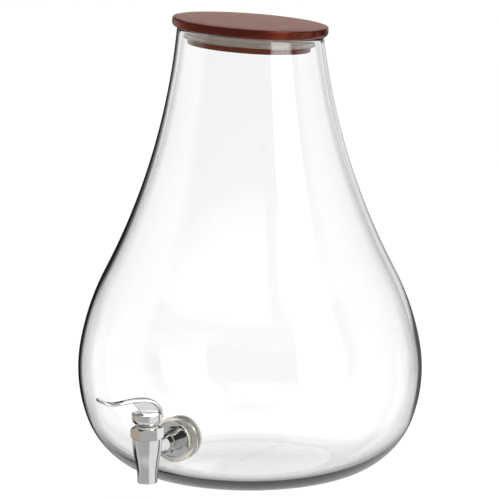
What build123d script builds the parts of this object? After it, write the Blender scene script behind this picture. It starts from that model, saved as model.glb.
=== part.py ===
from build123d import *
import os
from math import cos, radians, sin, sqrt

os.makedirs("parts", exist_ok=True)

# A clear glass jar with a slanted mouth, a turned wooden lid and a push-lever tap.
# Millimetres, +Z up. The origin is on the jar's axis at the table, and the tap points along -Y.

# Jar: tangent arcs from the foot to the neck. Each angle is that of the outward normal
# above the horizontal where one arc ends and the next begins.
foot_radius = 73.2
heel_radius = 76.8
heel_end_angle = -19.5
belly_radius = 126.5
belly_end_angle = 10.0
shoulder_radius = 225.0
shoulder_end_angle = 27.8
neck_radius = 585.0
neck_end_angle = 3.5
wall = 5.0
floor_thickness = 9.0
mouth_height = 391.6
mouth_slant = 4.6
rim_round = 2.0

# Lid, measured from the plane of the jar's mouth along the mouth's own axis.
lid_gap = 0.3
lid_radius = 68.5
lid_thickness = 8.4
lid_top_round = 1.2
lid_foot_round = 3.8
plug_depth = 13.8
plug_radius = 54.2
plug_band = 4.8
plug_groove = 2.0
plug_edge_round = 1.2
gasket_wall = 2.3
gasket_fin_radius = 58.0
gasket_fin_thickness = 1.0
gasket_fin_rise = 0.8
gasket_fin_edge = 0.6
gasket_fin_root = 0.5
gasket_fin_count = 3

# Tap: a level shank along -Y and an upright barrel.
shank_height = 58.0
barrel_reach = 201.0
flange_face = 155.0
flange_thickness = 2.5
flange_radius = 16.0
flange_lip = 1.6
flange_recess = 0.8
flange_round = 0.5
step_radius = 11.2
step_length = 3.6
shank_thick_radius = 8.5
bead_radius = 9.6
bead_place = 168.0
bead_width = 2.0
shank_radius = 7.5
channel_radius = 4.5
tail_radius = 8.0
tail_end = 119.0
thread_pitch = 1.5
thread_depth = 0.6
hole_radius = 8.6

# Barrel heights above the table.
spout_end = 32.0
barrel_top = 69.7
collar_top = 72.0
barrel_top_radius = 12.4
spout_radius = 8.4
spout_straight = 2.6
lip_round = 0.8
collar_radius = 9.6
chamber_radius = 7.5
outlet_radius = 5.2
seat_slope = 1.5

# Bonnet.
bonnet_top = 79.0
bonnet_flats = 24.0
bonnet_turn = -26.5
bonnet_corner_cut = 1.4
bonnet_foot_cut = 0.84
bonnet_foot_flat = 0.2
bonnet_top_flat = 0.4
bonnet_bore_radius = 9.68
bonnet_ceiling = 73.4
seal_groove_low = 75.0
seal_groove_high = 77.0
seal_groove_radius = 4.9
seal_side_gap = 0.1
stem_hole_radius = 3.08

# Valve stem and what it carries.
stem_radius = 3.0
stem_bottom = 51.4
stem_top = 87.5
stem_top_cut = 0.8
shoulder_low = 57.0
shoulder_high = 58.6
stem_shoulder_radius = 4.6
plug_bottom = 50.0
plug_cone_top = 52.1
plug_small_radius = 5.2
spring_washer_thickness = 1.2
spring_washer_radius = 6.9
fit_gap = 0.05
valve_gap = 0.24

# Spring.
spring_radius = 5.6
spring_wire_radius = 0.5
spring_turns = 5

# Lever. Its outlines give the distance in front of the barrel's axis, then the height
# above the table, or for the plan the half width.
lever_heading = -130.0
slip_washer_radius = 9.0
slip_washer_thickness = 0.75
slip_washer_gap = 0.2
pin_height = 85.5
pin_radius = 1.5
pin_running_gap = 0.06
pin_half_length = 12.1
bowl_radius = 12.6
bowl_bottom = 80.1
bowl_bottom_radius = 7.0
bowl_wall_bottom = 85.5
bowl_top = 90.5
bowl_dish = 1.1
bowl_round = 7.5
bowl_lip = 1.2
bowl_lip_slope = 0.8
strap_thickness = 3.4
strap_block_height = 35.0
tip_radius = 3.6
web_thickness = 3.2
strap_line = [(-12.0, 85.5), (-11.4, 92.0), (-6.6, 98.8), (3.0, 102.0), (14.0, 102.0),
              (26.0, 100.9), (36.0, 102.0), (44.4, 106.6)]
web_outline = [(13.5, 101.2), (3.0, 88.9), (-11.0, 88.9), (-11.0, 93.0), (-6.6, 98.8), (3.0, 101.8)]
stem_slot_gap = 0.3
stem_slot = [(-3.4, 79.1), (7.4, 79.1), (3.7, 86.5), (3.5, 88.5), (-5.0, 88.5), (-3.4, 84.5)]
strap_plan = [(-15.0, 4.8), (4.0, 4.6), (18.0, 3.7), (30.0, 5.6), (38.5, 6.6), (45.8, 3.2)]

# Washers and nut that clamp the tap to the glass.
washer_radius = 19.3
inner_washer_radius = 18.0
inner_washer_face = 134.0
glass_gap = 0.06
backing_radius = 14.5
backing_thickness = 1.5
nut_flats = 24.0
nut_thickness = 7.0
nut_corner_cut = 1.2


def on_circle(center, radius, angle):
    """Point on a circle in the half section of the jar."""
    across = center[0] + radius * cos(radians(angle))
    up = center[1] + radius * sin(radians(angle))
    return (across, up)


heel_center = (foot_radius, heel_radius)
heel_end = on_circle(heel_center, heel_radius, heel_end_angle)
belly_center = on_circle(heel_end, -belly_radius, heel_end_angle)
belly_end = on_circle(belly_center, belly_radius, belly_end_angle)
shoulder_center = on_circle(belly_end, -shoulder_radius, belly_end_angle)
shoulder_end = on_circle(shoulder_center, shoulder_radius, shoulder_end_angle)
neck_center = on_circle(shoulder_end, neck_radius, shoulder_end_angle)

slant_up = (sin(radians(mouth_slant)), 0, cos(radians(mouth_slant)))
slant_right = (cos(radians(mouth_slant)), 0, -sin(radians(mouth_slant)))
mouth_center = (0, 0, mouth_height)
mouth_plane = Plane(origin=mouth_center, x_dir=slant_right, z_dir=slant_up)
lid_section = Plane(origin=mouth_center, x_dir=slant_right, z_dir=(0, -1, 0))
lid_axis = Axis(mouth_center, slant_up)

# Sections for turned pieces: across the shank (Y, Z) and across the barrel (X, Z).
shank_section = Plane(origin=(0, 0, shank_height), x_dir=(0, -1, 0), z_dir=(-1, 0, 0))
shank_axis = Axis((0, 0, shank_height), (0, -1, 0))
barrel_section = Plane(origin=(0, -barrel_reach, 0), x_dir=(1, 0, 0), z_dir=(0, -1, 0))
barrel_axis = Axis((0, -barrel_reach, 0), (0, 0, 1))

heading = (cos(radians(lever_heading)), sin(radians(lever_heading)), 0)
lever_side = (heading[1], -heading[0], 0)
lever_section = Plane(origin=(0, -barrel_reach, 0), x_dir=heading, z_dir=lever_side)
lever_plan = Plane(origin=(0, -barrel_reach, 0), x_dir=heading, z_dir=(0, 0, 1))


def wall_arcs(inset):
    """The wall from the heel's end to above the mouth, moved into the glass by inset."""
    belly_arc = belly_end_angle - heel_end_angle
    shoulder_arc = shoulder_end_angle - belly_end_angle
    neck_arc = neck_end_angle - shoulder_end_angle
    CenterArc(belly_center, belly_radius - inset, heel_end_angle, belly_arc)
    CenterArc(shoulder_center, shoulder_radius - inset, belly_end_angle, shoulder_arc)
    CenterArc(neck_center, neck_radius + inset, 180 + shoulder_end_angle, neck_arc)


def outer_outline(gap):
    """The jar's outside from the axis to above the mouth, grown by gap."""
    Line((0, -gap), (foot_radius, -gap))
    CenterArc(heel_center, heel_radius + gap, -90, 90 + heel_end_angle)
    wall_arcs(-gap)
    return on_circle(neck_center, -(neck_radius - gap), neck_end_angle)


def inner_outline(gap):
    """The jar's inside from the axis to above the mouth, drawn in by gap."""
    inset = wall + gap
    low = floor_thickness + gap
    wall_start = on_circle(belly_center, belly_radius - inset, heel_end_angle)
    round_radius = (wall_start[1] - low) / (1 + sin(radians(heel_end_angle)))
    round_center = on_circle(wall_start, -round_radius, heel_end_angle)
    Line((0, low), (round_center[0], low))
    CenterArc(round_center, round_radius, -90, 90 + heel_end_angle)
    wall_arcs(inset)
    return on_circle(neck_center, -(neck_radius + inset), neck_end_angle)


# Glass jar, turned about Z, with its mouth cut on a slant and a hole for the tap.
with BuildPart() as glass_jar:
    with BuildSketch(Plane.XZ):
        with BuildLine():
            outer_top = outer_outline(0)
            inner_top = inner_outline(0)
            Line(outer_top, inner_top)
            Line((0, 0), (0, floor_thickness))
        make_face()
    revolve(axis=Axis.Z)
    split(bisect_by=mouth_plane, keep=Keep.BOTTOM)
    fillet(glass_jar.faces().sort_by(Axis.Z)[-1].edges(), radius=rim_round)
    with BuildSketch(Plane(origin=(0, 0, shank_height), z_dir=(0, -1, 0))):
        Circle(hole_radius)
    extrude(amount=flange_face, mode=Mode.SUBTRACT)
glass_jar.part.label = "glass_jar"
export_step(glass_jar.part, "parts/glass_jar.step")


# Lid: a round board with a rounded edge, and a plug under it that holds the gasket.
def turned_on_lid(points):
    """A closed outline turned about the lid's axis."""
    with BuildSketch(lid_section) as outline:
        with BuildLine():
            Polyline(*points, close=True)
        make_face()
    revolve(outline.sketch, axis=lid_axis)


with BuildPart() as lid_board:
    with BuildSketch(mouth_plane.offset(lid_gap)):
        Circle(lid_radius)
    extrude(amount=lid_thickness)
    fillet(lid_board.edges().filter_by(GeomType.CIRCLE).sort_by(lid_axis)[-1], radius=lid_top_round)
    fillet(lid_board.edges().filter_by(GeomType.CIRCLE).sort_by(lid_axis)[0], radius=lid_foot_round)
lid_board.part.label = "lid_board"
export_step(lid_board.part, "parts/lid_board.step")

with BuildPart() as lid_plug:
    groove_radius = plug_radius - plug_groove
    band_top = plug_band - plug_depth
    turned_on_lid([(0, lid_gap), (groove_radius, lid_gap), (groove_radius, band_top),
                   (plug_radius, band_top), (plug_radius, -plug_depth), (0, -plug_depth)])
    fillet(lid_plug.edges().sort_by(lid_axis)[0], radius=plug_edge_round)
lid_plug.part.label = "lid_plug"
export_step(lid_plug.part, "parts/lid_plug.step")

with BuildPart() as lid_gasket:
    sleeve_in = plug_radius - plug_groove + fit_gap
    sleeve_out = sleeve_in + gasket_wall
    sleeve_low = plug_band - plug_depth + fit_gap
    turned_on_lid([(sleeve_in, 0), (sleeve_out, 0), (sleeve_out, sleeve_low), (sleeve_in, sleeve_low)])
    fin_step = (-sleeve_low - gasket_fin_thickness) / gasket_fin_count
    for number in range(gasket_fin_count):
        fin_low = sleeve_low + number * fin_step
        fin_high = fin_low + gasket_fin_thickness
        fin_in = sleeve_out - gasket_fin_root
        fin_tip = fin_low + gasket_fin_rise
        turned_on_lid([(fin_in, fin_low), (gasket_fin_radius, fin_tip),
                       (gasket_fin_radius, fin_tip + gasket_fin_edge), (fin_in, fin_high)])
lid_gasket.part.label = "lid_gasket"
export_step(lid_gasket.part, "parts/lid_gasket.step")


# Tap body: barrel, stepped shank and threaded tail in one casting.
def barrel_outside():
    """Outside of the barrel in section, from the spout's end to the collar's top."""
    taper_low = spout_end + spout_straight
    narrowing = barrel_top_radius - spout_radius
    taper_height = barrel_top - taper_low
    half_turn = 2 * atan_degrees(narrowing / taper_height)
    taper_radius = taper_height / 2 / sin(radians(half_turn))
    lip_start = (spout_radius - lip_round, spout_end)
    lip_end = (spout_radius, spout_end + lip_round)
    RadiusArc(lip_start, lip_end, -lip_round)
    Line(lip_end, (spout_radius, taper_low))
    lower = JernArc((spout_radius, taper_low), (0, 1), taper_radius, -half_turn)
    JernArc(lower @ 1, lower % 1, taper_radius, half_turn)
    Line((barrel_top_radius, barrel_top), (collar_radius, barrel_top))
    Line((collar_radius, barrel_top), (collar_radius, collar_top))


def atan_degrees(ratio):
    """Angle whose tangent is ratio, from the half-angle of a unit triangle."""
    return Vector(1, 0, 0).get_angle(Vector(1, ratio, 0))


def thread_points(start, end):
    """Crests and roots of a thread along the shank's axis, as rings."""
    turns = int((start - end) / thread_pitch)
    points = []
    for turn in range(turns):
        crest = start - turn * thread_pitch
        points.append((crest, tail_radius))
        points.append((crest - thread_pitch / 2, tail_radius - thread_depth))
    return points


flange_back = flange_face - flange_thickness
step_start = flange_face - flange_recess
step_end = flange_face + step_length

with BuildPart() as tap_body:
    with BuildSketch(barrel_section):
        with BuildLine():
            barrel_outside()
            Polyline((collar_radius, collar_top), (0, collar_top), (0, spout_end),
                     (spout_radius - lip_round, spout_end))
        make_face()
    revolve(axis=barrel_axis)
    with BuildSketch(shank_section):
        with BuildLine():
            Polyline((barrel_reach, 0), (barrel_reach, shank_radius),
                     (bead_place + bead_width, shank_radius),
                     (bead_place + bead_width, bead_radius), (bead_place, bead_radius),
                     (bead_place, shank_thick_radius), (step_end, shank_thick_radius),
                     (step_end, step_radius), (step_start, step_radius), (step_start, tail_radius),
                     *thread_points(flange_back, tail_end),
                     (tail_end, tail_radius - thread_depth), (tail_end, 0), close=True)
        make_face()
    revolve(axis=shank_axis)
    with BuildSketch(Plane(origin=(0, -tail_end, shank_height), z_dir=(0, -1, 0))):
        Circle(channel_radius)
    extrude(amount=barrel_reach - tail_end, mode=Mode.SUBTRACT)
    with BuildSketch(barrel_section):
        with BuildLine():
            seat_low = plug_bottom + seat_slope * (outlet_radius - plug_small_radius - valve_gap)
            seat_high = plug_bottom + seat_slope * (chamber_radius - plug_small_radius - valve_gap)
            Polyline((0, spout_end), (outlet_radius, spout_end), (outlet_radius, seat_low),
                     (chamber_radius, seat_high), (chamber_radius, collar_top), (0, collar_top),
                     close=True)
        make_face()
    revolve(axis=barrel_axis, mode=Mode.SUBTRACT)
tap_body.part.label = "tap_body"
export_step(tap_body.part, "parts/tap_body.step")


def turned_on_barrel(points, mode=Mode.ADD):
    """A closed outline turned about the barrel's axis."""
    with BuildSketch(barrel_section) as outline:
        with BuildLine():
            Polyline(*points, close=True)
        make_face()
    revolve(outline.sketch, axis=barrel_axis, mode=mode)


# Bonnet: a hexagonal cap with its corners cut back at both ends.
with BuildPart() as tap_bonnet:
    corner_radius = bonnet_flats / sqrt(3)
    with BuildSketch(Plane(origin=(0, -barrel_reach, barrel_top + fit_gap), z_dir=(0, 0, 1))):
        RegularPolygon(corner_radius, 6, rotation=bonnet_turn)
    extrude(amount=bonnet_top - barrel_top - fit_gap)
    flat_radius = bonnet_flats / 2
    turned_on_barrel([(0, barrel_top), (flat_radius + bonnet_foot_flat, barrel_top),
                      (corner_radius, barrel_top + bonnet_foot_cut),
                      (corner_radius, bonnet_top - bonnet_corner_cut),
                      (flat_radius - bonnet_top_flat, bonnet_top), (0, bonnet_top)],
                     mode=Mode.INTERSECT)
    turned_on_barrel([(0, barrel_top), (bonnet_bore_radius, barrel_top),
                      (bonnet_bore_radius, bonnet_ceiling), (stem_hole_radius, bonnet_ceiling),
                      (stem_hole_radius, seal_groove_low), (seal_groove_radius, seal_groove_low),
                      (seal_groove_radius, seal_groove_high), (stem_hole_radius, seal_groove_high),
                      (stem_hole_radius, bonnet_top), (0, bonnet_top)], mode=Mode.SUBTRACT)
tap_bonnet.part.label = "tap_bonnet"
export_step(tap_bonnet.part, "parts/tap_bonnet.step")

with BuildPart() as bonnet_seal:
    seal_in = chamber_radius + seal_side_gap
    seal_out = collar_radius - seal_side_gap
    turned_on_barrel([(seal_in, collar_top), (seal_out, collar_top),
                      (seal_out, bonnet_ceiling), (seal_in, bonnet_ceiling)])
bonnet_seal.part.label = "bonnet_seal"
export_step(bonnet_seal.part, "parts/bonnet_seal.step")

with BuildPart() as stem_seal:
    seal_cord = (seal_groove_radius - stem_hole_radius) / 2 - fit_gap
    seal_ring = (seal_groove_radius + stem_hole_radius) / 2
    seal_height = (seal_groove_low + seal_groove_high) / 2
    with BuildSketch(barrel_section):
        with Locations((seal_ring, seal_height)):
            Circle(seal_cord)
    revolve(axis=barrel_axis)
stem_seal.part.label = "stem_seal"
export_step(stem_seal.part, "parts/stem_seal.step")


# Washers and nut on the threaded tail, on both sides of the glass.
def disc_on_shank(start, end, radius, bore):
    """A ring about the shank's axis between two distances from the jar's axis."""
    with BuildSketch(Plane(origin=(0, -start, shank_height), z_dir=(0, -1, 0))) as ring:
        Circle(radius)
        Circle(bore, mode=Mode.SUBTRACT)
    extrude(ring.sketch, amount=end - start)


tail_fit = tail_radius + fit_gap

with BuildPart() as tap_flange:
    disc_on_shank(flange_back, flange_face, flange_radius, tail_fit)
    rims = tap_flange.edges().filter_by(GeomType.CIRCLE).sort_by(SortBy.RADIUS)[-2:]
    fillet(rims.sort_by(Axis.Y)[0], radius=flange_round)
    with BuildSketch(Plane(origin=(0, -step_start, shank_height), z_dir=(0, -1, 0))):
        Circle(flange_radius - flange_lip)
    extrude(amount=flange_recess, mode=Mode.SUBTRACT)
tap_flange.part.label = "tap_flange"
export_step(tap_flange.part, "parts/tap_flange.step")

with BuildPart() as outer_washer:
    disc_on_shank(foot_radius, flange_back, washer_radius, tail_fit)
    with BuildSketch(Plane.XZ):
        with BuildLine():
            outer_top = outer_outline(glass_gap)
            Polyline(outer_top, (0, outer_top[1]), (0, -glass_gap))
        make_face()
    revolve(axis=Axis.Z, mode=Mode.SUBTRACT)
outer_washer.part.label = "outer_washer"
export_step(outer_washer.part, "parts/outer_washer.step")

with BuildPart() as inner_washer:
    disc_on_shank(inner_washer_face, flange_face, inner_washer_radius, tail_fit)
    with BuildSketch(Plane.XZ):
        with BuildLine():
            inner_top = inner_outline(glass_gap)
            Polyline(inner_top, (0, inner_top[1]), (0, floor_thickness + glass_gap))
        make_face()
    revolve(axis=Axis.Z, mode=Mode.INTERSECT)
inner_washer.part.label = "inner_washer"
export_step(inner_washer.part, "parts/inner_washer.step")

with BuildPart() as backing_washer:
    backing_face = inner_washer_face - backing_thickness
    disc_on_shank(backing_face, inner_washer_face, backing_radius, tail_fit)
backing_washer.part.label = "backing_washer"
export_step(backing_washer.part, "parts/backing_washer.step")

with BuildPart() as lock_nut:
    nut_corner = nut_flats / sqrt(3)
    nut_low = backing_face - nut_thickness
    with BuildSketch(Plane(origin=(0, -nut_low, shank_height), z_dir=(0, -1, 0))):
        RegularPolygon(nut_corner, 6)
        Circle(tail_fit, mode=Mode.SUBTRACT)
    extrude(amount=nut_thickness)
    with BuildSketch(shank_section):
        with BuildLine():
            Polyline((nut_low, 0), (nut_low, nut_flats / 2), (nut_low + nut_corner_cut, nut_corner),
                     (backing_face, nut_corner), (backing_face, 0), close=True)
        make_face()
    revolve(axis=shank_axis, mode=Mode.INTERSECT)
lock_nut.part.label = "lock_nut"
export_step(lock_nut.part, "parts/lock_nut.step")


# Valve: a stem with a soft cone on its end, held down by a spring under the bonnet.
with BuildPart() as valve_stem:
    turned_on_barrel([(0, stem_bottom), (stem_radius, stem_bottom), (stem_radius, shoulder_low),
                      (stem_shoulder_radius, shoulder_low), (stem_shoulder_radius, shoulder_high),
                      (stem_radius, shoulder_high), (stem_radius, stem_top - stem_top_cut),
                      (stem_radius - stem_top_cut, stem_top), (0, stem_top)])
    with BuildSketch(lever_section):
        with Locations((0, pin_height)):
            Circle(pin_radius + pin_running_gap)
    extrude(amount=2 * stem_radius, both=True, mode=Mode.SUBTRACT)
valve_stem.part.label = "valve_stem"
export_step(valve_stem.part, "parts/valve_stem.step")

with BuildPart() as seat_plug:
    plug_big_radius = plug_small_radius + (plug_cone_top - plug_bottom) / seat_slope
    turned_on_barrel([(0, plug_bottom), (plug_small_radius, plug_bottom),
                      (plug_big_radius, plug_cone_top), (plug_big_radius, shoulder_low),
                      (stem_radius + fit_gap, shoulder_low), (stem_radius + fit_gap, stem_bottom - fit_gap),
                      (0, stem_bottom - fit_gap)])
seat_plug.part.label = "seat_plug"
export_step(seat_plug.part, "parts/seat_plug.step")

spring_low = shoulder_high + spring_washer_thickness

with BuildPart() as spring_washer:
    turned_on_barrel([(stem_radius + fit_gap, shoulder_high), (spring_washer_radius, shoulder_high),
                      (spring_washer_radius, spring_low), (stem_radius + fit_gap, spring_low)])
spring_washer.part.label = "spring_washer"
export_step(spring_washer.part, "parts/spring_washer.step")

with BuildPart() as valve_spring:
    coil_height = bonnet_ceiling - spring_low - 4 * spring_wire_radius
    coil_start = spring_low + 2 * spring_wire_radius
    with BuildLine():
        coil = Helix(pitch=coil_height / spring_turns, height=coil_height, radius=spring_radius,
                     center=(0, -barrel_reach, coil_start))
    with BuildSketch(Plane(origin=coil @ 0, z_dir=coil % 0)):
        Circle(spring_wire_radius)
    sweep(path=coil, is_frenet=True)
valve_spring.part.label = "valve_spring"
export_step(valve_spring.part, "parts/valve_spring.step")


# Lever: a cam bowl over the bonnet, a strap that arches over it and a thumb pad.
with BuildPart() as slip_washer:
    slip_low = bonnet_top + fit_gap
    slip_high = slip_low + slip_washer_thickness
    slip_in = stem_hole_radius + slip_washer_gap
    turned_on_barrel([(slip_in, slip_low), (slip_washer_radius, slip_low),
                      (slip_washer_radius, slip_high), (slip_in, slip_high)])
slip_washer.part.label = "slip_washer"
export_step(slip_washer.part, "parts/slip_washer.step")

with BuildPart() as tap_lever:
    with BuildSketch(lever_section):
        with BuildLine():
            Spline(*strap_line)
        trace(line_width=strap_thickness)
    extrude(amount=bowl_radius, both=True)
    with BuildSketch(lever_plan.offset(bowl_bottom)):
        with BuildLine():
            plan_side = Spline(*strap_plan)
            RadiusArc(plan_side @ 1, (strap_plan[-1][0], -strap_plan[-1][1]), tip_radius)
            Line(plan_side @ 0, (strap_plan[0][0], -strap_plan[0][1]))
            mirror(plan_side, about=Plane.XZ)
        make_face()
    extrude(amount=strap_block_height, mode=Mode.INTERSECT)
    with BuildSketch(lever_section):
        with BuildLine():
            Polyline(*web_outline, close=True)
        make_face()
    extrude(amount=web_thickness / 2, both=True)
    with BuildSketch(lever_section):
        with BuildLine():
            Polyline((0, bowl_top - bowl_dish),
                     (bowl_radius - bowl_lip - bowl_lip_slope, bowl_top - bowl_dish),
                     (bowl_radius - bowl_lip, bowl_top), (bowl_radius, bowl_top),
                     (bowl_radius, bowl_wall_bottom))
            RadiusArc((bowl_radius, bowl_wall_bottom), (bowl_bottom_radius, bowl_bottom), bowl_round)
            Polyline((bowl_bottom_radius, bowl_bottom), (0, bowl_bottom), (0, bowl_top - bowl_dish))
        make_face()
    revolve(axis=barrel_axis)
    with BuildSketch(lever_section):
        with BuildLine():
            Polyline(*stem_slot, close=True)
        make_face()
    extrude(amount=stem_radius + stem_slot_gap, both=True, mode=Mode.SUBTRACT)
    with BuildSketch(lever_section):
        with Locations((0, pin_height)):
            Circle(pin_radius)
    extrude(amount=bowl_radius, both=True, mode=Mode.SUBTRACT)
tap_lever.part.label = "tap_lever"
export_step(tap_lever.part, "parts/tap_lever.step")

with BuildPart() as lever_pin:
    with BuildSketch(lever_section):
        with Locations((0, pin_height)):
            Circle(pin_radius)
    extrude(amount=pin_half_length, both=True)
lever_pin.part.label = "lever_pin"
export_step(lever_pin.part, "parts/lever_pin.step")
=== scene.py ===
import math

import bmesh
import bpy
import numpy as np
from mathutils import Matrix, Vector


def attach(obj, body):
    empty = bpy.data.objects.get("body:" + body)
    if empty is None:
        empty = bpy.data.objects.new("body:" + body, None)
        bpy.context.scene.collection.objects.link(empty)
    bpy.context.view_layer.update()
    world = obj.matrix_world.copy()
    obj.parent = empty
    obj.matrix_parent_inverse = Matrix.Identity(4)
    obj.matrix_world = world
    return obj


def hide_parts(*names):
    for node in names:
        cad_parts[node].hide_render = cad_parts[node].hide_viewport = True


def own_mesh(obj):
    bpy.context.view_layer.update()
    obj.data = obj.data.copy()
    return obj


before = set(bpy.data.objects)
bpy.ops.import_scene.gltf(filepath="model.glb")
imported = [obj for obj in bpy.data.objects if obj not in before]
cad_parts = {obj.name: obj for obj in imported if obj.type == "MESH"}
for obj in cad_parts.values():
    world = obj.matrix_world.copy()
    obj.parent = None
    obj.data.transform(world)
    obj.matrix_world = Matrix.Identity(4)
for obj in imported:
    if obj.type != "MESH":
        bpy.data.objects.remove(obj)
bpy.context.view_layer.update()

MM = 0.001
TAU = 2 * math.pi

# Jar wall: tangent arcs, in metres. Each angle is that of the outward normal above the
# horizontal where one arc ends and the next begins.
FOOT_RADIUS = 0.0732
HEEL_RADIUS = 0.0768
HEEL_END = -19.5
BELLY_RADIUS = 0.1265
BELLY_END = 10.0
SHOULDER_RADIUS = 0.225
SHOULDER_END = 27.8
NECK_RADIUS = 0.585
NECK_END = 3.5
WALL = 0.005
FLOOR_THICKNESS = 0.009
MOUTH_HEIGHT = 0.3916
MOUTH_SLANT = 4.6
RIM_ROUND = 0.002
HOLE_RADIUS = 0.0086
HOLE_START = 0.10
HOLE_END = 0.17
JAR_COLUMNS = 240
FOOT_ROWS = 14
FLOOR_ROWS = 10
HEEL_ROWS = 56
BELLY_ROWS = 40
SHOULDER_ROWS = 36
NECK_ROWS = 64
RIM_ROWS = 7
BISECTIONS = 40

# Hand-blown unevenness of the inside: two waves, each as (share, turns round the jar,
# slant and start), one of them also swelling with height, and the heights where they fade.
WAVE_DEPTH = 0.00012
WAVE_LONG = (1.0, 3, 21, 0.0)
WAVE_SWELL = (46, 1.3)
WAVE_SHORT = (0.6, 7, -33, 0.8)
WAVE_FLOOR = 0.02
WAVE_FLOOR_FADE = 0.03
WAVE_TOP = 0.36
WAVE_TOP_FADE = 0.02

# Tap: a level shank along -Y and an upright barrel.
SHANK_HEIGHT = 0.058
BARREL_REACH = 0.201
TAP_COLUMNS = 96

# Camera, at the photograph's angle.
CAMERA_AZIMUTH = 25.0
CAMERA_ELEVATION = 9.0
CAMERA_DISTANCE = 2.40
CAMERA_TARGET = (0.0, 0.0, 0.198)
CAMERA_LENS = 195.3
SENSOR_WIDTH = 36.0
CLIP_START = 0.05
CLIP_END = 200.0
SKY_STRENGTH = 1.12


# ---------------------------------------------------------------- meshes
def mesh_object(name, points, faces):
    """An object from points in the row frame, all faces smooth."""
    mesh = bpy.data.meshes.new(name)
    mesh.from_pydata(points, [], faces)
    mesh.validate()
    for polygon in mesh.polygons:
        polygon.use_smooth = True
    mesh.update()
    made = bpy.data.objects.new(name, mesh)
    bpy.context.scene.collection.objects.link(made)
    return made


def ring_faces(columns, rows, closed=False):
    """Quads between rings of points, each ring having the same number of columns."""
    faces = []
    steps = rows if closed else rows - 1
    for row in range(steps):
        here = row * columns
        there = (row + 1) % rows * columns
        for column in range(columns):
            after = (column + 1) % columns
            faces.append((here + column, here + after, there + after, there + column))
    return faces


def fix_normals(made, sharp_degrees=40.0):
    """Faces point outwards, and edges sharper than this stay sharp."""
    work = bmesh.new()
    work.from_mesh(made.data)
    bmesh.ops.remove_doubles(work, verts=work.verts, dist=1e-7)
    bmesh.ops.recalc_face_normals(work, faces=work.faces)
    work.to_mesh(made.data)
    work.free()
    for polygon in made.data.polygons:
        polygon.use_smooth = True
    made.data.set_sharp_from_angle(angle=math.radians(sharp_degrees))


def apply_modifiers(made):
    """The object's mesh becomes what its modifiers make of it."""
    graph = bpy.context.evaluated_depsgraph_get()
    result = bpy.data.meshes.new_from_object(made.evaluated_get(graph))
    made.modifiers.clear()
    old = made.data
    made.data = result
    bpy.data.meshes.remove(old)


def cut_away(made, cutter):
    """Takes the cutter's volume out of the object, and deletes the cutter."""
    cut = made.modifiers.new("cut", "BOOLEAN")
    cut.operation = "DIFFERENCE"
    cut.solver = "EXACT"
    cut.object = cutter
    apply_modifiers(made)
    bpy.data.objects.remove(cutter)


def ring_points(outline, columns):
    """A ring of points round the axis for each (radius, height) of the outline."""
    points = []
    for radius, height in outline:
        for column in range(columns):
            turn = TAU * column / columns
            points.append((radius * math.cos(turn), radius * math.sin(turn), height))
    return points


def cap_ends(points, faces, columns, first_height, last_height):
    """Closes the first and last rings with fans round two points on the axis."""
    last_ring = len(points) - columns
    first = len(points)
    points += [(0, 0, first_height), (0, 0, last_height)]
    for column in range(columns):
        after = (column + 1) % columns
        faces.append((first, after, column))
        faces.append((first + 1, last_ring + column, last_ring + after))


def turned(name, outline, frame_matrix, columns):
    """A solid of revolution: outline is (radius, height) from the axis back to the axis."""
    points = ring_points(outline[1:-1], columns)
    faces = ring_faces(columns, len(outline) - 2)
    cap_ends(points, faces, columns, outline[0][1], outline[-1][1])
    placed = [tuple(frame_matrix @ Vector(p)) for p in points]
    return mesh_object(name, placed, faces)


def turned_ring(name, outline, frame_matrix, columns):
    """A ring of revolution: outline is a closed loop of (radius, height)."""
    faces = ring_faces(columns, len(outline), closed=True)
    placed = [tuple(frame_matrix @ Vector(p)) for p in ring_points(outline, columns)]
    return mesh_object(name, placed, faces)


def rounded(corners, radii, steps):
    """An open outline of straight lines whose inner corners are rounded."""
    outline = [corners[0]]
    for number in range(1, len(corners) - 1):
        before = Vector(corners[number - 1])
        corner = Vector(corners[number])
        after = Vector(corners[number + 1])
        radius = radii[number - 1]
        if radius <= 0:
            outline.append(tuple(corner))
            continue
        back = (before - corner).normalized()
        on = (after - corner).normalized()
        half = math.acos(max(-1.0, min(1.0, back.dot(on)))) / 2
        reach = radius / math.tan(half)
        centre = corner + (back + on).normalized() * (radius / math.sin(half))
        start = corner + back * reach
        end = corner + on * reach
        first = math.atan2(start.y - centre.y, start.x - centre.x)
        sweep = math.atan2(end.y - centre.y, end.x - centre.x) - first
        sweep = (sweep + math.pi) % TAU - math.pi
        for step in range(steps + 1):
            turn = first + sweep * step / steps
            outline.append((centre.x + radius * math.cos(turn), centre.y + radius * math.sin(turn)))
    outline.append(corners[-1])
    return outline


# ---------------------------------------------------------------- jar
def on_circle(centre, radius, degrees):
    """Point on a circle in the jar's half section."""
    turn = math.radians(degrees)
    return (centre[0] + radius * math.cos(turn), centre[1] + radius * math.sin(turn))


HEEL_CENTRE = (FOOT_RADIUS, HEEL_RADIUS)
HEEL_TOP = on_circle(HEEL_CENTRE, HEEL_RADIUS, HEEL_END)
BELLY_CENTRE = on_circle(HEEL_TOP, -BELLY_RADIUS, HEEL_END)
BELLY_TOP = on_circle(BELLY_CENTRE, BELLY_RADIUS, BELLY_END)
SHOULDER_CENTRE = on_circle(BELLY_TOP, -SHOULDER_RADIUS, BELLY_END)
SHOULDER_TOP = on_circle(SHOULDER_CENTRE, SHOULDER_RADIUS, SHOULDER_END)
NECK_CENTRE = on_circle(SHOULDER_TOP, NECK_RADIUS, SHOULDER_END)


def arc(centre, radius, start, end, steps):
    """Points along an arc, without its last one."""
    points = []
    for step in range(steps):
        points.append(on_circle(centre, radius, start + (end - start) * step / steps))
    return points


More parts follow.
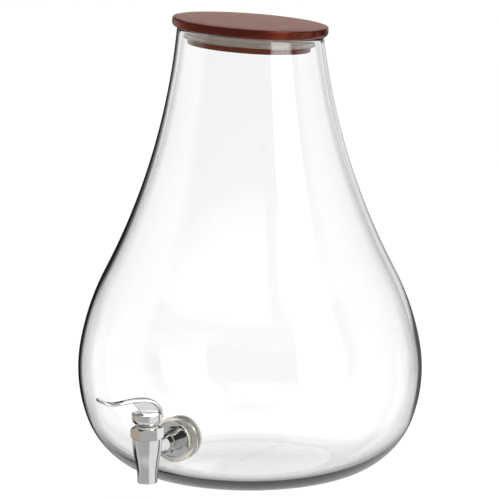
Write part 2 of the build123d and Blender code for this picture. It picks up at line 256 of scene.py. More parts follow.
def wall_points(inset):
    """The wall's points from the heel's end to the neck's start."""
    points = arc(BELLY_CENTRE, BELLY_RADIUS - inset, HEEL_END, BELLY_END, BELLY_ROWS)
    points += arc(SHOULDER_CENTRE, SHOULDER_RADIUS - inset, BELLY_END, SHOULDER_END, SHOULDER_ROWS)
    return points


def outer_low():
    """The outside from the flat underside's centre to the neck's start."""
    points = [(FOOT_RADIUS * step / FOOT_ROWS, 0.0) for step in range(1, FOOT_ROWS)]
    points += arc(HEEL_CENTRE, HEEL_RADIUS, -90, HEEL_END, HEEL_ROWS)
    return points + wall_points(0)


def inner_low():
    """The inside from the floor's centre to the neck's start."""
    start = on_circle(BELLY_CENTRE, BELLY_RADIUS - WALL, HEEL_END)
    round_radius = (start[1] - FLOOR_THICKNESS) / (1 + math.sin(math.radians(HEEL_END)))
    centre = on_circle(start, -round_radius, HEEL_END)
    points = [(centre[0] * step / FLOOR_ROWS, FLOOR_THICKNESS) for step in range(1, FLOOR_ROWS)]
    points += arc(centre, round_radius, -90, HEEL_END, HEEL_ROWS)
    return points + wall_points(WALL)


def mouth_z(across, turn):
    """Height of the slanted mouth plane above a point of the wall."""
    return MOUTH_HEIGHT - across * math.cos(turn) * math.tan(math.radians(MOUTH_SLANT))


def neck_end_angle(radius, sign, turn):
    """The arc angle at which this column's rounded rim begins."""
    low, high = NECK_END, SHOULDER_END
    for _ in range(BISECTIONS):
        middle = (low + high) / 2
        point = on_circle(NECK_CENTRE, -radius, middle)
        centre = on_circle(point, -sign * RIM_ROUND, middle)
        if centre[1] + RIM_ROUND > mouth_z(centre[0], turn):
            low = middle
        else:
            high = middle
    return (low + high) / 2


def jar_column(turn, outside, inside):
    """All points of one column, from the underside over the rim to the floor."""
    column = list(outside)
    last = neck_end_angle(NECK_RADIUS, 1, turn)
    for step in range(NECK_ROWS + 1):
        angle = SHOULDER_END + (last - SHOULDER_END) * step / NECK_ROWS
        column.append(on_circle(NECK_CENTRE, -NECK_RADIUS, angle))
    rim = on_circle(column[-1], -RIM_ROUND, last)
    for step in range(1, RIM_ROWS + 1):
        column.append(on_circle(rim, RIM_ROUND, last + (90 - last) * step / RIM_ROWS))
    last = neck_end_angle(NECK_RADIUS + WALL, -1, turn)
    start = on_circle(NECK_CENTRE, -(NECK_RADIUS + WALL), last)
    rim = on_circle(start, RIM_ROUND, last)
    for step in range(RIM_ROWS):
        column.append(on_circle(rim, RIM_ROUND, 90 + (90 + last) * step / RIM_ROWS))
    neck = []
    for step in range(NECK_ROWS + 1):
        angle = SHOULDER_END + (last - SHOULDER_END) * step / NECK_ROWS
        neck.append(on_circle(NECK_CENTRE, -(NECK_RADIUS + WALL), angle))
    return column, neck[::-1] + list(inside)[::-1]


def hand_blown(point, turn):
    """Moves a point of the inside a little into the glass, as in hand-blown ware."""
    across, height = point
    share, turns, slant, start = WAVE_LONG
    wave = share * math.sin(turns * turn + slant * height + start)
    wave *= math.sin(WAVE_SWELL[0] * height + WAVE_SWELL[1])
    share, turns, slant, start = WAVE_SHORT
    wave += share * math.sin(turns * turn + slant * height + start)
    swell = WAVE_DEPTH * (1 + wave / (WAVE_LONG[0] + WAVE_SHORT[0])) / 2
    fade = min(1.0, max(0.0, (height - WAVE_FLOOR) / WAVE_FLOOR_FADE))
    fade *= min(1.0, max(0.0, (WAVE_TOP - height) / WAVE_TOP_FADE))
    return (across + swell * fade, height)


def build_jar():
    """The jar: a dense turned wall with a rounded, slanted rim, and the tap's hole."""
    outside = outer_low()
    inside = inner_low()
    columns = []
    for number in range(JAR_COLUMNS):
        turn = TAU * number / JAR_COLUMNS
        over, under = jar_column(turn, outside, inside)
        section = over + [hand_blown(p, turn) for p in under]
        columns.append([(r * math.cos(turn), r * math.sin(turn), z) for r, z in section])
    rows = len(columns[0])
    points = [columns[c][row] for row in range(rows) for c in range(JAR_COLUMNS)]
    faces = ring_faces(JAR_COLUMNS, rows)
    cap_ends(points, faces, JAR_COLUMNS, 0, FLOOR_THICKNESS)
    jar = mesh_object("jar_glass", points, faces)
    fix_normals(jar)
    along = Matrix.Translation((0, 0, SHANK_HEIGHT)) @ Matrix.Rotation(math.pi / 2, 4, "X")
    drill = [(0, HOLE_START), (HOLE_RADIUS, HOLE_START), (HOLE_RADIUS, HOLE_END), (0, HOLE_END)]
    cut_away(jar, turned("drill", drill, along, TAP_COLUMNS))
    fix_normals(jar)
    return jar


# ---------------------------------------------------------------- lid
LID_GAP = 0.0003
LID_RADIUS = 0.0685
LID_THICKNESS = 0.0084
LID_TOP_ROUND = 0.0012
LID_FOOT_ROUND = 0.0038
PLUG_DEPTH = 0.0138
PLUG_RADIUS = 0.0542
PLUG_BAND = 0.0048
PLUG_GROOVE = 0.002
PLUG_EDGE = 0.0012
PLUG_STEP_ROUND = 0.0003
PLUG_BAND_ROUND = 0.0004
BOARD_FLAT = 0.05
BOARD_ROWS = 6
PLUG_FLAT = 0.045
PLUG_ROWS = 5
SLEEVE_GAP = 0.00005
SLEEVE_WALL = 0.0023
SLEEVE_ROUND = 0.0003
SLEEVE_TOP_GAP = 0.001
SLEEVE_MIDDLE = -0.002
FIN_RADIUS = 0.058
FIN_COUNT = 3
FIN_LOW = 0.0008
FIN_HIGH = 0.0014
FIN_ROOT = 0.001
FIN_TIP_ROUND = 0.00028
FIN_ROOT_ROUND = 0.0004
LID_COLUMNS = 192

LID_TILT = Matrix.Rotation(math.radians(MOUTH_SLANT), 4, "Y")
LID_FRAME = Matrix.Translation((0, 0, MOUTH_HEIGHT)) @ LID_TILT


def disc_rows(radius, height, rows):
    """Rings on a flat disc, so that its shading stays even."""
    return [(radius * step / rows, height) for step in range(1, rows)]


def build_board():
    """The lid's board, with a turned edge."""
    top = LID_GAP + LID_THICKNESS
    corners = [(BOARD_FLAT, LID_GAP), (LID_RADIUS, LID_GAP), (LID_RADIUS, top), (BOARD_FLAT, top)]
    edge = rounded(corners, [LID_FOOT_ROUND, LID_TOP_ROUND], 12)
    outline = [(0, LID_GAP)] + disc_rows(BOARD_FLAT, LID_GAP, BOARD_ROWS) + edge
    outline += disc_rows(BOARD_FLAT, top, BOARD_ROWS)[::-1] + [(0, top)]
    board = turned("lid_board_wood", outline, LID_FRAME, LID_COLUMNS)
    fix_normals(board)
    return board


def build_plug():
    """The plug under the board, with a groove that holds the gasket."""
    groove = PLUG_RADIUS - PLUG_GROOVE
    band = PLUG_BAND - PLUG_DEPTH
    corners = [(PLUG_FLAT, LID_GAP), (groove, LID_GAP), (groove, band), (PLUG_RADIUS, band),
               (PLUG_RADIUS, -PLUG_DEPTH), (PLUG_FLAT, -PLUG_DEPTH)]
    edge = rounded(corners, [0, PLUG_STEP_ROUND, PLUG_BAND_ROUND, PLUG_EDGE], 5)
    outline = [(0, LID_GAP)] + disc_rows(PLUG_FLAT, LID_GAP, PLUG_ROWS) + edge
    outline += disc_rows(PLUG_FLAT, -PLUG_DEPTH, PLUG_ROWS)[::-1] + [(0, -PLUG_DEPTH)]
    plug = turned("lid_plug_wood", outline, LID_FRAME, LID_COLUMNS)
    fix_normals(plug)
    return plug


def build_gasket():
    """The silicone sleeve and its soft fins."""
    inner = PLUG_RADIUS - PLUG_GROOVE + SLEEVE_GAP
    outer = inner + SLEEVE_WALL
    low = PLUG_BAND - PLUG_DEPTH + SLEEVE_GAP
    step = (-low - SLEEVE_TOP_GAP) / FIN_COUNT
    corners = [(inner, SLEEVE_MIDDLE), (inner, low), (outer, low)]
    radii = [SLEEVE_ROUND, 0.0]
    for number in range(FIN_COUNT):
        base = low + number * step
        corners += [(FIN_RADIUS, base + FIN_LOW), (FIN_RADIUS, base + FIN_HIGH),
                    (outer, base + FIN_ROOT)]
        radii += [FIN_TIP_ROUND, FIN_TIP_ROUND, FIN_ROOT_ROUND]
        if number < FIN_COUNT - 1:
            corners.append((outer, base + step))
            radii.append(0.0)
    corners += [(outer, 0.0), (inner, 0.0), (inner, -SLEEVE_TOP_GAP)]
    radii += [SLEEVE_ROUND, SLEEVE_ROUND]
    outline = rounded(corners, radii, 4)
    gasket = turned_ring("lid_gasket_silicone", outline, LID_FRAME, LID_COLUMNS)
    fix_normals(gasket)
    return gasket


# ---------------------------------------------------------------- lever
LEVER_HEADING = -130.0
BOWL_RADIUS = 0.0126
BOWL_FLAT = 0.003
BOWL_BOTTOM = 0.0801
BOWL_BOTTOM_RADIUS = 0.007
BOWL_WALL = 0.0855
BOWL_TOP = 0.0905
BOWL_ROUND = 0.0075
BOWL_ROWS = 12
DISH_RIM = 0.0114
DISH_RADIUS = 0.0106
DISH_FLAT = 0.005
DISH_DEPTH = 0.0011
STRAP_HALF = 0.0017
WEB_THICKNESS = 0.0032
SLOT_HALF = 0.0033
SCOOP_DEPTH = 0.0015
SCOOP_POWER = 1.2
STRAP_STATIONS = 150
STRAP_COLUMNS = 40
STRAP_SQUARENESS = 0.72
LEVER_VOXEL = 0.00026
LEVER_SMOOTHINGS = 9

# In millimetres: each point is the distance ahead of the barrel, then the height, or in
# the plan the half width. The tip's plan rounds off and thins over its last stretch.
STRAP_LINE = [(-12.0, 86.5), (-11.4, 92.0), (-6.6, 98.8), (3.0, 102.0), (14.0, 102.0),
              (26.0, 100.9), (36.0, 102.0), (44.4, 106.6)]
STRAP_PLAN = [(-15.0, 4.8), (4.0, 4.6), (18.0, 3.7), (30.0, 5.6), (38.5, 6.6), (45.8, 3.2)]
WEB_OUTLINE = [(13.5, 101.2), (3.0, 88.9), (-11.0, 88.9), (-11.0, 93.0), (-6.6, 98.8), (3.0, 101.8)]
STEM_SLOT = [(-3.4, 79.1), (7.4, 79.1), (3.7, 86.5), (3.5, 88.5), (-5.0, 88.5), (-3.4, 84.5)]
SCOOP_START = 20.0
SCOOP_END = 44.0
TIP_ROUND = 4.5
TIP_LEAST = 0.0004
TIP_THIN = 6
TIP_SHARE = 0.7
MM_PER_METRE = 1000

HEADING = Vector((math.cos(math.radians(LEVER_HEADING)), math.sin(math.radians(LEVER_HEADING)), 0))
SIDEWAYS = Vector((-HEADING.y, HEADING.x, 0))
BARREL_FOOT = Vector((0, -BARREL_REACH, 0))


def natural_spline(xs, ys, wanted):
    """Values of the natural cubic spline through (xs, ys)."""
    xs, ys = np.array(xs, float), np.array(ys, float)
    count = len(xs)
    gap = np.diff(xs)
    system = np.eye(count)
    right = np.zeros(count)
    for k in range(1, count - 1):
        system[k, k - 1:k + 2] = [gap[k - 1], 2 * (gap[k - 1] + gap[k]), gap[k]]
        right[k] = 6 * ((ys[k + 1] - ys[k]) / gap[k] - (ys[k] - ys[k - 1]) / gap[k - 1])
    bend = np.linalg.solve(system, right)
    place = np.clip(np.searchsorted(xs, wanted) - 1, 0, count - 2)
    before = wanted - xs[place]
    after = xs[place + 1] - wanted
    span = gap[place]
    curve = (bend[place] * after ** 3 + bend[place + 1] * before ** 3) / (6 * span)
    curve += (ys[place] / span - bend[place] * span / 6) * after
    return curve + (ys[place + 1] / span - bend[place + 1] * span / 6) * before


def lever_point(ahead, aside, height):
    """A point from its distance ahead of the barrel, its offset aside and its height."""
    return BARREL_FOOT + HEADING * ahead + SIDEWAYS * aside + Vector((0, 0, height))


def build_strap():
    """The strap that arches from the bowl to the thumb pad, with a scooped pad."""
    knots = np.array(STRAP_LINE)
    lengths = np.concatenate([[0], np.cumsum(np.hypot(*np.diff(knots, axis=0).T))])
    stations = np.linspace(0, lengths[-1], STRAP_STATIONS)
    ahead = natural_spline(lengths, knots[:, 0], stations)
    height = natural_spline(lengths, knots[:, 1], stations)
    plan = np.array(STRAP_PLAN)
    half = natural_spline(plan[:, 0], plan[:, 1], ahead)
    left = lengths[-1] - stations
    half *= np.sqrt(np.clip(1 - (1 - np.clip(left / TIP_ROUND, 0, 1)) ** 2, TIP_LEAST, 1))
    points = []
    for k in range(STRAP_STATIONS):
        before, after = max(0, k - 1), min(STRAP_STATIONS - 1, k + 1)
        slope = Vector((ahead[after] - ahead[before], height[after] - height[before])).normalized()
        up = Vector((-slope.y, slope.x))
        share = (ahead[k] - SCOOP_START) / (SCOOP_END - SCOOP_START)
        scoop = SCOOP_DEPTH * math.sin(math.pi * min(1, max(0, share))) ** SCOOP_POWER
        thick = STRAP_HALF * min(1.0, TIP_SHARE + left[k] / TIP_THIN)
        for step in range(STRAP_COLUMNS):
            turn = TAU * step / STRAP_COLUMNS
            c, s = math.cos(turn), math.sin(turn)
            aside = math.copysign(abs(c) ** STRAP_SQUARENESS, c)
            rise = thick * math.copysign(abs(s) ** STRAP_SQUARENESS, s)
            if s > 0:
                rise -= scoop * (1 - aside ** 2)
            rise *= MM_PER_METRE
            place = (ahead[k] + up.x * rise, height[k] + up.y * rise)
            points.append(lever_point(place[0] * MM, aside * half[k] * MM, place[1] * MM))
    faces = ring_faces(STRAP_COLUMNS, STRAP_STATIONS)
    faces.append(tuple(range(STRAP_COLUMNS))[::-1])
    faces.append(tuple(range(len(points) - STRAP_COLUMNS, len(points))))
    return mesh_object("strap", points, faces)


def slab(name, outline, thickness):
    """A flat plate in the lever's own plane, from its outline in millimetres."""
    points = []
    for aside in (-thickness / 2, thickness / 2):
        points += [lever_point(ahead * MM, aside, height * MM) for ahead, height in outline]
    count = len(outline)
    faces = [tuple(range(count)), tuple(range(count, 2 * count))[::-1]]
    for k in range(count):
        after = (k + 1) % count
        faces.append((after, k, count + k, count + after))
    return mesh_object(name, points, faces)


def build_bowl():
    """The turned cam bowl that sits over the bonnet."""
    dish = BOWL_TOP - DISH_DEPTH
    outline = [(0, BOWL_BOTTOM), (BOWL_FLAT, BOWL_BOTTOM), (BOWL_BOTTOM_RADIUS, BOWL_BOTTOM)]
    chord = Vector((BOWL_RADIUS - BOWL_BOTTOM_RADIUS, BOWL_WALL - BOWL_BOTTOM))
    middle = Vector((BOWL_BOTTOM_RADIUS, BOWL_BOTTOM)) + chord / 2
    rise = math.sqrt(BOWL_ROUND ** 2 - (chord.length / 2) ** 2)
    centre = middle + Vector((-chord.y, chord.x)).normalized() * rise
    first = math.degrees(math.atan2(BOWL_BOTTOM - centre.y, BOWL_BOTTOM_RADIUS - centre.x))
    last = math.degrees(math.atan2(BOWL_WALL - centre.y, BOWL_RADIUS - centre.x))
    outline += arc((centre.x, centre.y), BOWL_ROUND, first, last, BOWL_ROWS)[1:]
    outline += [(BOWL_RADIUS, BOWL_WALL), (BOWL_RADIUS, BOWL_TOP), (DISH_RIM, BOWL_TOP),
                (DISH_RADIUS, dish), (DISH_FLAT, dish), (0, dish)]
    return turned("bowl", outline, Matrix.Translation(BARREL_FOOT), TAP_COLUMNS)


def join(target, others):
    """Puts the others' meshes into target."""
    work = bmesh.new()
    work.from_mesh(target.data)
    for other in others:
        work.from_mesh(other.data)
        bpy.data.objects.remove(other)
    work.to_mesh(target.data)
    work.free()


def build_lever():
    """The lever as one casting: strap, web and bowl melted together with soft edges."""
    lever = build_bowl()
    lever.name = "tap_lever_casting"
    parts = [build_strap(), slab("web", WEB_OUTLINE, WEB_THICKNESS)]
    for made in [lever] + parts:
        fix_normals(made)
    join(lever, parts)
    skin = lever.modifiers.new("skin", "REMESH")
    skin.mode = "VOXEL"
    skin.voxel_size = LEVER_VOXEL
    soften = lever.modifiers.new("soften", "SMOOTH")
    soften.factor = 0.5
    soften.iterations = LEVER_SMOOTHINGS
    apply_modifiers(lever)
    cutter = slab("slot", STEM_SLOT, 2 * SLOT_HALF)
    fix_normals(cutter)
    cut_away(lever, cutter)
    fix_normals(lever, 50)
    return lever


# ---------------------------------------------------------------- materials
def add(tree, kind, **settings):
    """A new node with these settings."""
    node = tree.nodes.new(kind)
    for key, value in settings.items():
        setattr(node, key, value)
    return node


def material(name):
    """A new material with its node tree and Principled shader."""
    made = bpy.data.materials.new(name)
    made.use_nodes = True
    return made, made.node_tree, made.node_tree.nodes["Principled BSDF"]


def object_place(tree, scale, turn=(0, 0, 0)):
    """Coordinates in the row frame, turned and scaled."""
    coordinates = add(tree, "ShaderNodeTexCoord")
    mapping = add(tree, "ShaderNodeMapping")
    mapping.inputs["Scale"].default_value = scale
    mapping.inputs["Rotation"].default_value = turn
    tree.links.new(coordinates.outputs["Object"], mapping.inputs["Vector"])
    return mapping.outputs["Vector"]


def noise(tree, vector, scale, detail, roughness=0.5, distortion=0.0):
    """A noise texture's value."""
    node = add(tree, "ShaderNodeTexNoise")
    node.inputs["Scale"].default_value = scale
    node.inputs["Detail"].default_value = detail
    node.inputs["Roughness"].default_value = roughness
    node.inputs["Distortion"].default_value = distortion
    tree.links.new(vector, node.inputs["Vector"])
    return node.outputs["Fac"]


def remap(tree, value, low, high, from_low, from_high):
    """Maps a value from the second range onto the first."""
    node = add(tree, "ShaderNodeMapRange")
    node.inputs["From Min"].default_value = from_low
    node.inputs["From Max"].default_value = from_high
    node.inputs["To Min"].default_value = low
    node.inputs["To Max"].default_value = high
    tree.links.new(value, node.inputs["Value"])
    return node.outputs["Result"]


def ramp(tree, value, stops):
    """Colours along a value: stops are (place, (r, g, b))."""
    node = add(tree, "ShaderNodeValToRGB")
    elements = node.color_ramp.elements
    while len(elements) < len(stops):
        elements.new(0.5)
    for element, (place, colour) in zip(elements, stops):
        element.position = place
        element.color = (*colour, 1)
    tree.links.new(value, node.inputs["Fac"])
    return node.outputs["Color"]


def blend_colours(tree, share, first, second, mode="MIX"):
    """Two colours mixed by a share."""
    node = add(tree, "ShaderNodeMix", data_type="RGBA", blend_type=mode)
    if isinstance(share, float):
        node.inputs["Factor"].default_value = share
    else:
        tree.links.new(share, node.inputs["Factor"])
    for socket, value in ((node.inputs[6], first), (node.inputs[7], second)):
        if isinstance(value, tuple):
            socket.default_value = (*value, 1)
        else:
            tree.links.new(value, socket)
    return node.outputs[2]


def arithmetic(tree, operation, first, second=0.0):
    """A math node on sockets or numbers."""
    node = add(tree, "ShaderNodeMath", operation=operation)
    for socket, value in ((node.inputs[0], first), (node.inputs[1], second)):
        if isinstance(value, (int, float)):
            socket.default_value = value
        else:
            tree.links.new(value, socket)
    return node.outputs[0]


def bump(tree, height, strength, distance):
    """A bump normal from a height."""
    node = add(tree, "ShaderNodeBump")
    node.inputs["Strength"].default_value = strength
    node.inputs["Distance"].default_value = distance
    tree.links.new(height, node.inputs["Height"])
    return node.outputs["Normal"]


def choose_shader(tree, share, first, second, output):
    """The output shows the first shader, and the second one where the share is 1."""
    choose = add(tree, "ShaderNodeMixShader")
    tree.links.new(share, choose.inputs[0])
    tree.links.new(first.outputs[0], choose.inputs[1])
    tree.links.new(second.outputs[0], choose.inputs[2])
    tree.links.new(choose.outputs[0], tree.nodes[output].inputs["Surface"])


def let_light_through(tree, shader):
    """Light reaches what lies behind this surface as if it weren't there."""
    clear = add(tree, "ShaderNodeBsdfTransparent")
    path = add(tree, "ShaderNodeLightPath")
    open_to = arithmetic(tree, "MAXIMUM", path.outputs["Is Shadow Ray"], path.outputs["Is Diffuse Ray"])
    choose_shader(tree, open_to, shader, clear, "Material Output")


def glass_material():
    """Clear soda glass, with painted shade that darkens it towards grey where it's seen edge on."""
    made, tree, shader = material("clear_glass_look")
    place = object_place(tree, (1, 1, 1))
    tint = ramp(tree, noise(tree, place, 9.0, 2.0),
                [(0.3, (0.985, 0.995, 0.992)), (0.7, (0.995, 1.0, 1.0))])
    # Painted shade: the glass colour turns grey where the surface is seen edge on, in place of the dark
    # edge lines from the surroundings.
    painted_shade_facing = add(tree, "ShaderNodeLayerWeight")
    painted_shade_facing.inputs["Blend"].default_value = 0.5
    edge = arithmetic(tree, "POWER", painted_shade_facing.outputs["Facing"], 9.0)
    colour = blend_colours(tree, arithmetic(tree, "MULTIPLY", edge, 0.4), tint, (0.30, 0.32, 0.33))
    tree.links.new(colour, shader.inputs["Base Color"])
    smudge = remap(tree, noise(tree, place, 30.0, 3.0), 0.0, 0.012, 0.4, 0.8)
    tree.links.new(smudge, shader.inputs["Roughness"])
    shader.inputs["IOR"].default_value = 1.5
    shader.inputs["Transmission Weight"].default_value = 1.0
    let_light_through(tree, shader)
    return made


GRAIN_HEADING = -32.0


def wood_material(name, dark, middle, light, roughness, turned_lines):
    """Red-brown hardwood: long grain bands, fine pores and a waxed surface."""
    made, tree, shader = material(name)
    turn = (0, 0, math.radians(GRAIN_HEADING))
    along = object_place(tree, (3.0, 26.0, 26.0), turn)
    wander = noise(tree, object_place(tree, (5.0, 14.0, 14.0), turn), 1.0, 3.0)
    bands = noise(tree, along, 1.4, 5.0, 0.62, 0.9)
    figure = arithmetic(tree, "ADD", bands, arithmetic(tree, "MULTIPLY", wander, 0.5))
    colour = ramp(tree, arithmetic(tree, "MULTIPLY", figure, 0.68),
                  [(0.34, dark), (0.50, middle), (0.66, light)])
    streaks = noise(tree, object_place(tree, (60.0, 900.0, 900.0), turn), 1.0, 3.0, 0.6)
    pores = remap(tree, streaks, 0.62, 1.0, 0.34, 0.52)
    tree.links.new(blend_colours(tree, 1.0, colour, pores, "MULTIPLY"), shader.inputs["Base Color"])
    tree.links.new(remap(tree, streaks, roughness + 0.10, roughness - 0.03, 0.35, 0.6),
                   shader.inputs["Roughness"])
    lines = noise(tree, object_place(tree, (8.0, 8.0, 1500.0)), 1.0, 2.0)
    height = arithmetic(tree, "ADD", arithmetic(tree, "MULTIPLY", streaks, 0.6),
                        arithmetic(tree, "MULTIPLY", lines, turned_lines))
    tree.links.new(bump(tree, height, 0.25, 0.0002), shader.inputs["Normal"])
    shader.inputs["IOR"].default_value = 1.45
    shader.inputs["Specular IOR Level"].default_value = 0.5
    shader.inputs["Specular Tint"].default_value = (1.0, 0.5, 0.42, 1)
    shader.inputs["Sheen Weight"].default_value = 0.22
    shader.inputs["Sheen Roughness"].default_value = 0.2
    shader.inputs["Sheen Tint"].default_value = (1.0, 0.48, 0.42, 1)
    return made


def silicone_material(name, tint, transmission):
    """Translucent whitish silicone with a faint cloudiness."""
    made, tree, shader = material(name)
    place = object_place(tree, (1, 1, 1))
    cloud = noise(tree, place, 120.0, 3.0)
    low = tuple(0.94 * c for c in tint)
    tree.links.new(ramp(tree, cloud, [(0.3, low), (0.7, tint)]), shader.inputs["Base Color"])
    tree.links.new(remap(tree, cloud, 0.09, 0.16, 0.3, 0.7), shader.inputs["Roughness"])
    shader.inputs["IOR"].default_value = 1.41
    shader.inputs["Transmission Weight"].default_value = transmission
    shader.inputs["Subsurface Weight"].default_value = 0.12
    shader.inputs["Subsurface Radius"].default_value = (0.004, 0.004, 0.004)
    let_light_through(tree, shader)
    return made


def metal_material(name, colour, roughness, scratches):
    """Polished metal with faint smudges and hairlines."""
    made, tree, shader = material(name)
    place = object_place(tree, (1, 1, 1))
    smudge = noise(tree, place, 160.0, 3.0)
    low = tuple(0.95 * c for c in colour)
    tree.links.new(ramp(tree, smudge, [(0.35, low), (0.65, colour)]), shader.inputs["Base Color"])
    hair = noise(tree, object_place(tree, (1200.0, 1200.0, 90.0)), 1.0, 2.0)
    rough = arithmetic(tree, "ADD", remap(tree, smudge, roughness * 0.7, roughness * 1.4, 0.35, 0.65),
                       remap(tree, hair, 0.0, scratches, 0.55, 0.75))
    tree.links.new(rough, shader.inputs["Roughness"])
    shader.inputs["Metallic"].default_value = 1.0
    return made


def plastic_material(name, colour, roughness):
    """Moulded plastic or rubber with a fine matt grain."""
    made, tree, shader = material(name)
    place = object_place(tree, (1, 1, 1))
    grain = noise(tree, place, 700.0, 3.0)
    low = tuple(0.9 * c for c in colour)
    tree.links.new(ramp(tree, grain, [(0.3, low), (0.7, colour)]), shader.inputs["Base Color"])
    tree.links.new(remap(tree, grain, roughness, roughness + 0.12, 0.3, 0.7), shader.inputs["Roughness"])
    tree.links.new(bump(tree, grain, 0.15, 0.0001), shader.inputs["Normal"])
    return made


def wear(made, finish):
    """Gives an object one material."""
    made.data.materials.clear()
    made.data.materials.append(finish)


# ---------------------------------------------------------------- the object
GLASS = glass_material()
LID_WOOD = wood_material("lid_wood_look", (0.016, 0.0016, 0.0006), (0.054, 0.0048, 0.0013),
                         (0.125, 0.018, 0.004), 0.12, 0.12)
PLUG_WOOD = wood_material("plug_wood_look", (0.025, 0.003, 0.001), (0.060, 0.008, 0.0024),
                          (0.11, 0.022, 0.006), 0.25, 0.5)
SILICONE = silicone_material("clear_silicone_look", (0.96, 0.92, 0.83), 0.85)
CHROME = metal_material("chrome_look", (0.80, 0.80, 0.79), 0.045, 0.03)
STAINLESS = metal_material("stainless_look", (0.62, 0.61, 0.59), 0.2, 0.12)
WHITE_PLASTIC = plastic_material("white_plastic_look", (0.82, 0.82, 0.80), 0.35)
RUBBER = plastic_material("seal_rubber_look", (0.03, 0.03, 0.03), 0.6)

FINISHES = {"clear_glass": GLASS, "lid_wood": LID_WOOD, "plug_wood": PLUG_WOOD,
            "clear_silicone": SILICONE, "chrome": CHROME, "stainless": STAINLESS,
            "white_plastic": WHITE_PLASTIC, "seal_rubber": RUBBER}

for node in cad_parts.values():
    slot_name = node.data.materials[0].name.split(".")[0]
    wear(node, FINISHES[slot_name])


def stand_in(made, node, body, slot):
    """Puts a finished piece in a CAD node's place, on its body and with its finish."""
    wear(made, FINISHES[slot])
    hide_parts(node)
    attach(made, body)


stand_in(build_jar(), "glass_jar", "jar", "clear_glass")
stand_in(build_board(), "lid_board", "lid", "lid_wood")
stand_in(build_plug(), "lid_plug", "lid", "plug_wood")
stand_in(build_gasket(), "lid_gasket", "lid", "clear_silicone")
stand_in(build_lever(), "tap_lever", "lever", "chrome")
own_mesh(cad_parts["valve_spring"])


# ---------------------------------------------------------------- stage
FLOOR_REACH = 40.0


def build_floor():
    """A wide pale floor that reflections look through."""
    corners = [(-FLOOR_REACH, -FLOOR_REACH, 0), (FLOOR_REACH, -FLOOR_REACH, 0),
               (FLOOR_REACH, FLOOR_REACH, 0), (-FLOOR_REACH, FLOOR_REACH, 0)]
    made = mesh_object("studio_floor", corners, [(0, 1, 2, 3)])
    finish, tree, shader = material("floor_look")
    tone = noise(tree, object_place(tree, (1, 1, 1)), 3.0, 2.0)
    tree.links.new(ramp(tree, tone, [(0.3, (0.90, 0.90, 0.90)), (0.7, (0.91, 0.91, 0.91))]),
                   shader.inputs["Base Color"])
    shader.inputs["Roughness"].default_value = 1.0
    shader.inputs["Specular IOR Level"].default_value = 0.0
    path = add(tree, "ShaderNodeLightPath")
    unseen = add(tree, "ShaderNodeBsdfTransparent")
    mirrored = arithmetic(tree, "MINIMUM", path.outputs["Glossy Depth"], 1.0)
    choose_shader(tree, mirrored, shader, unseen, "Material Output")
    wear(made, finish)
    made.visible_glossy = False


def sky_box(tree, azimuth, elevation, centre, half_width, low, high, soft):
    """A soft-edged panel of the sky, 1 inside and 0 outside, in degrees."""
    off = arithmetic(tree, "SUBTRACT", azimuth, centre)
    off = arithmetic(tree, "WRAP", off, 180.0)
    off.node.inputs[2].default_value = -180.0
    across = remap(tree, arithmetic(tree, "ABSOLUTE", off), 1.0, 0.0, half_width - soft, half_width + soft)
    above = remap(tree, elevation, 0.0, 1.0, low - soft, low + soft)
    below = remap(tree, elevation, 1.0, 0.0, high - soft, high + soft)
    return arithmetic(tree, "MULTIPLY", across, arithmetic(tree, "MULTIPLY", above, below))


# Panels that polished surfaces see: direction round from the camera's azimuth, half width,
# lowest and highest elevation, edge softness, and colour. Later ones cover earlier ones.
PANELS = [
    (-30.0, 48.0, -35.0, 1.0, 6.0, (0.47, 0.47, 0.47)),
    (-112.0, 15.0, -14.0, 5.0, 3.0, (0.46, 0.36, 0.24)),
    (-126.0, 26.0, -56.0, -17.0, 3.0, (0.03, 0.03, 0.03)),
    (64.0, 42.0, -42.0, -3.0, 4.0, (0.88, 0.88, 0.88)),
    (180.0, 34.0, 3.0, 12.0, 2.0, (0.46, 0.36, 0.32)),
    (-167.0, 11.0, -20.0, 3.0, 2.5, (0.015, 0.015, 0.015)),
    (163.0, 14.0, -4.5, 3.5, 1.0, (0.80, 0.80, 0.80)),
    (165.0, 12.0, -18.0, -5.0, 1.0, (0.10, 0.10, 0.10)),
    (135.0, 14.0, -12.0, 30.0, 3.0, (0.03, 0.03, 0.03)),
    (50.0, 16.5, -4.0, 44.0, 1.5, (4.0, 4.0, 4.0)),
    (22.0, 5.0, -3.0, 50.0, 2.0, (0.05, 0.05, 0.05)),
    (108.0, 6.0, -50.0, 50.0, 2.0, (0.03, 0.03, 0.03)),
]
# Panels that only light which has passed through glass sees.
GLASS_PANELS = [
    (0.0, 181.0, -91.0, -17.0, 3.0, (0.60, 0.60, 0.61)),
    (-116.0, 36.0, -62.0, 60.0, 4.0, (1.0, 1.0, 1.0)),
    (116.0, 36.0, -62.0, 60.0, 4.0, (1.0, 1.0, 1.0)),
]
SKY_BANDS = [(0.0, (0.80, 0.80, 0.80)), (0.33, (0.70, 0.70, 0.70)), (0.44, (0.50, 0.50, 0.50)),
             (0.497, (0.48, 0.48, 0.48)), (0.515, (0.05, 0.05, 0.05)), (0.66, (0.04, 0.04, 0.04)),
             (0.70, (0.95, 0.95, 0.95))]


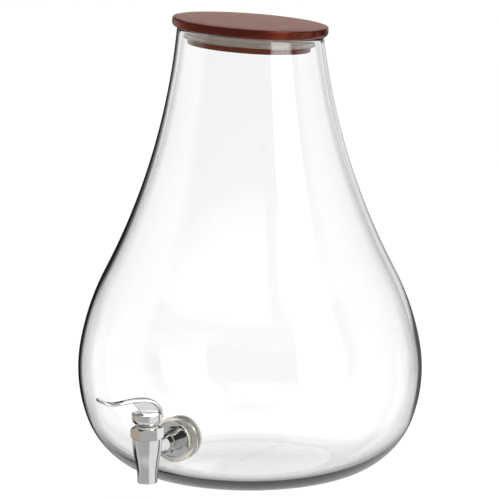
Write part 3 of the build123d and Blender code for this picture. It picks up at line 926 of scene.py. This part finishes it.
def build_sky():
    """An even white dome for light and views, and a panelled one for reflections."""
    sky = bpy.data.worlds.new("studio")
    bpy.context.scene.world = sky
    sky.use_nodes = True
    tree = sky.node_tree
    plain = tree.nodes["Background"]
    plain.inputs["Color"].default_value = (1.0, 1.0, 1.0, 1)
    plain.inputs["Strength"].default_value = SKY_STRENGTH
    coordinates = add(tree, "ShaderNodeTexCoord")
    parts = add(tree, "ShaderNodeSeparateXYZ")
    tree.links.new(coordinates.outputs["Generated"], parts.inputs[0])
    back = arithmetic(tree, "MULTIPLY", parts.outputs["Y"], -1.0)
    turn = arithmetic(tree, "ARCTAN2", parts.outputs["X"], back)
    azimuth = arithmetic(tree, "DEGREES", turn)
    elevation = arithmetic(tree, "DEGREES", arithmetic(tree, "ARCSINE", parts.outputs["Z"]))
    height = remap(tree, elevation, 0.0, 1.0, -90.0, 90.0)
    colour = ramp(tree, height, SKY_BANDS)
    path = add(tree, "ShaderNodeLightPath")
    through = arithmetic(tree, "MINIMUM", path.outputs["Transmission Depth"], 1.0)
    for centre, half_width, low, high, soft, tone in PANELS:
        share = sky_box(tree, azimuth, elevation, CAMERA_AZIMUTH + centre, half_width, low, high, soft)
        colour = blend_colours(tree, share, colour, tone)
    for centre, half_width, low, high, soft, tone in GLASS_PANELS:
        share = sky_box(tree, azimuth, elevation, CAMERA_AZIMUTH + centre, half_width, low, high, soft)
        colour = blend_colours(tree, arithmetic(tree, "MULTIPLY", share, through), colour, tone)
    seen = add(tree, "ShaderNodeBackground")
    tree.links.new(colour, seen.inputs["Color"])
    mirrored = arithmetic(tree, "MINIMUM", path.outputs["Glossy Depth"], 1.0)
    choose_shader(tree, mirrored, plain, seen, "World Output")


def aim(made, azimuth, elevation, distance):
    """Puts a camera or lamp at this distance from the target, looking at it."""
    turn, lift = math.radians(azimuth), math.radians(elevation)
    away = Vector((math.sin(turn) * math.cos(lift), -math.cos(turn) * math.cos(lift), math.sin(lift)))
    made.location = Vector(CAMERA_TARGET) + away * distance
    made.rotation_mode = "QUATERNION"
    made.rotation_quaternion = away.to_track_quat("Z", "Y")


def build_lamp(name, azimuth, elevation, distance, size, power):
    """A square soft lamp that looks at the object."""
    lamp = bpy.data.lights.new(name, "AREA")
    lamp.shape = "SQUARE"
    lamp.size = size
    lamp.energy = power
    made = bpy.data.objects.new(name, lamp)
    bpy.context.scene.collection.objects.link(made)
    aim(made, azimuth, elevation, distance)
    made.visible_glossy = False
    made.visible_camera = False


def build_camera():
    """The camera, from the photograph's side."""
    lens = bpy.data.cameras.new("camera")
    lens.lens = CAMERA_LENS
    lens.sensor_width = SENSOR_WIDTH
    lens.clip_start = CLIP_START
    lens.clip_end = CLIP_END
    made = bpy.data.objects.new("camera", lens)
    bpy.context.scene.collection.objects.link(made)
    aim(made, CAMERA_AZIMUTH, CAMERA_ELEVATION, CAMERA_DISTANCE)
    bpy.context.scene.camera = made


build_floor()
build_sky()
build_lamp("key_softbox", azimuth=CAMERA_AZIMUTH + 50, elevation=38, distance=2.4, size=1.3, power=14)
build_camera()
bpy.context.scene.view_settings.view_transform = "Standard"
